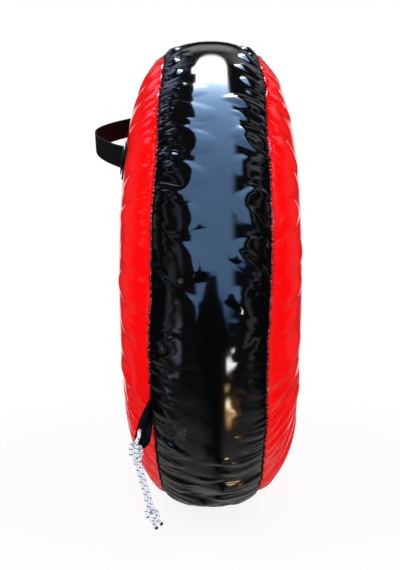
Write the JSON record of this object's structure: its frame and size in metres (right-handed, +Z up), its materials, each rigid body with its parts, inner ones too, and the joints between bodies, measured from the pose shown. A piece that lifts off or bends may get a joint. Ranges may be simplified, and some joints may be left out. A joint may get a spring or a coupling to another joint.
{
  "type": "snow tube",
  "caption": "Round inflatable snow tube in a sewn vinyl cover, with webbing handles, a zipped seat floor and a knotted tow cord on a tab.",
  "frame": {"origin": "middle of the flattened patch on the rim that rests on the ground", "axes": "+X along the tube's axis, from the seat side to the back; +Y away from the picture's viewer; +Z up"},
  "size_m": [0.3625, 0.9, 0.8885],
  "materials": {
    "butyl_rubber": "dull black butyl",
    "valve_brass": "plain turned brass",
    "valve_steel": "plated valve core",
    "cap_plastic": "moulded black cap",
    "black_vinyl": "glossy black coated vinyl",
    "red_vinyl": "glossy red coated vinyl",
    "black_floor_vinyl": "black vinyl, less glossy",
    "binding_tape": "woven black tape",
    "zip_teeth": "moulded black teeth",
    "zip_metal": "cast grey metal",
    "black_webbing": "black satin webbing",
    "white_braid": "white braid with navy flecks"
  },
  "bodies": {
    "cover": {"side_band": "black_vinyl", "seat_side_panel": "red_vinyl", "back_side_panel": "red_vinyl", "seat_floor": "black_floor_vinyl", "seat_seam_binding": "binding_tape", "back_seam_binding": "binding_tape", "inner_tube": "butyl_rubber", "valve_base": "butyl_rubber", "valve_stem": "valve_brass", "valve_core": "valve_steel", "zip_tape_front": "binding_tape", "zip_tape_rear": "binding_tape", "zip_teeth_front": "zip_teeth", "zip_teeth_rear": "zip_teeth", "zip_stop_upper": "zip_metal", "zip_stop_lower": "zip_metal", "upper_handle_front_end": "black_webbing", "upper_handle_rear_end": "black_webbing", "upper_handle_front_patch": "black_vinyl", "upper_handle_rear_patch": "black_vinyl", "lower_handle_front_end": "black_webbing", "lower_handle_rear_end": "black_webbing", "lower_handle_front_patch": "black_vinyl", "lower_handle_rear_patch": "black_vinyl"},
    "upper_handle": {"upper_handle_strap": "black_webbing"},
    "lower_handle": {"lower_handle_strap": "black_webbing"},
    "slider": {"zip_slider": "zip_metal"},
    "pull": {"zip_pull": "zip_metal"},
    "tab": {"tow_tab": "black_vinyl"},
    "cord": {"tow_cord": "white_braid", "upper_knot": "white_braid", "end_knot": "white_braid"},
    "cap": {"valve_cap": "cap_plastic"}
  },
  "joints": [
    {"name": "upper_handle_fold", "type": "hinge", "parent": "cover", "child": "upper_handle", "pos_m": [-0.1485, -0.10726, 0.69118], "axis": [0, 0.9205, 0.3907], "range_deg": [-48, 48]},
    {"name": "lower_handle_fold", "type": "hinge", "parent": "cover", "child": "lower_handle", "pos_m": [-0.1485, 0.19579, 0.2461], "axis": [0, -0.7009, -0.7132], "range_deg": [-48, 48]},
    {"name": "zip_slide", "type": "slide", "parent": "cover", "child": "slider", "axis": [0, 0, 1], "range_m": [0, 0.2]},
    {"name": "zip_pull_swing", "type": "hinge", "parent": "slider", "child": "pull", "pos_m": [-0.1209, 0, 0.3385], "axis": [0, 1, 0], "range_deg": [0, 170]},
    {"name": "tow_tab_swing", "type": "hinge", "parent": "cover", "child": "tab", "pos_m": [-0.08339, -0.37844, 0.24567], "axis": [0, -0.454, 0.891], "range_deg": [-40, 36]},
    {"name": "tow_cord_swing", "type": "hinge", "parent": "tab", "child": "cord", "pos_m": [-0.10269, -0.38904, 0.20897], "axis": [0, 1, 0], "range_deg": [0, 80]},
    {"name": "valve_cap_lift", "type": "slide", "parent": "cover", "child": "cap", "axis": [0, 0, 1], "range_m": [0, 0.018]}
  ]
}
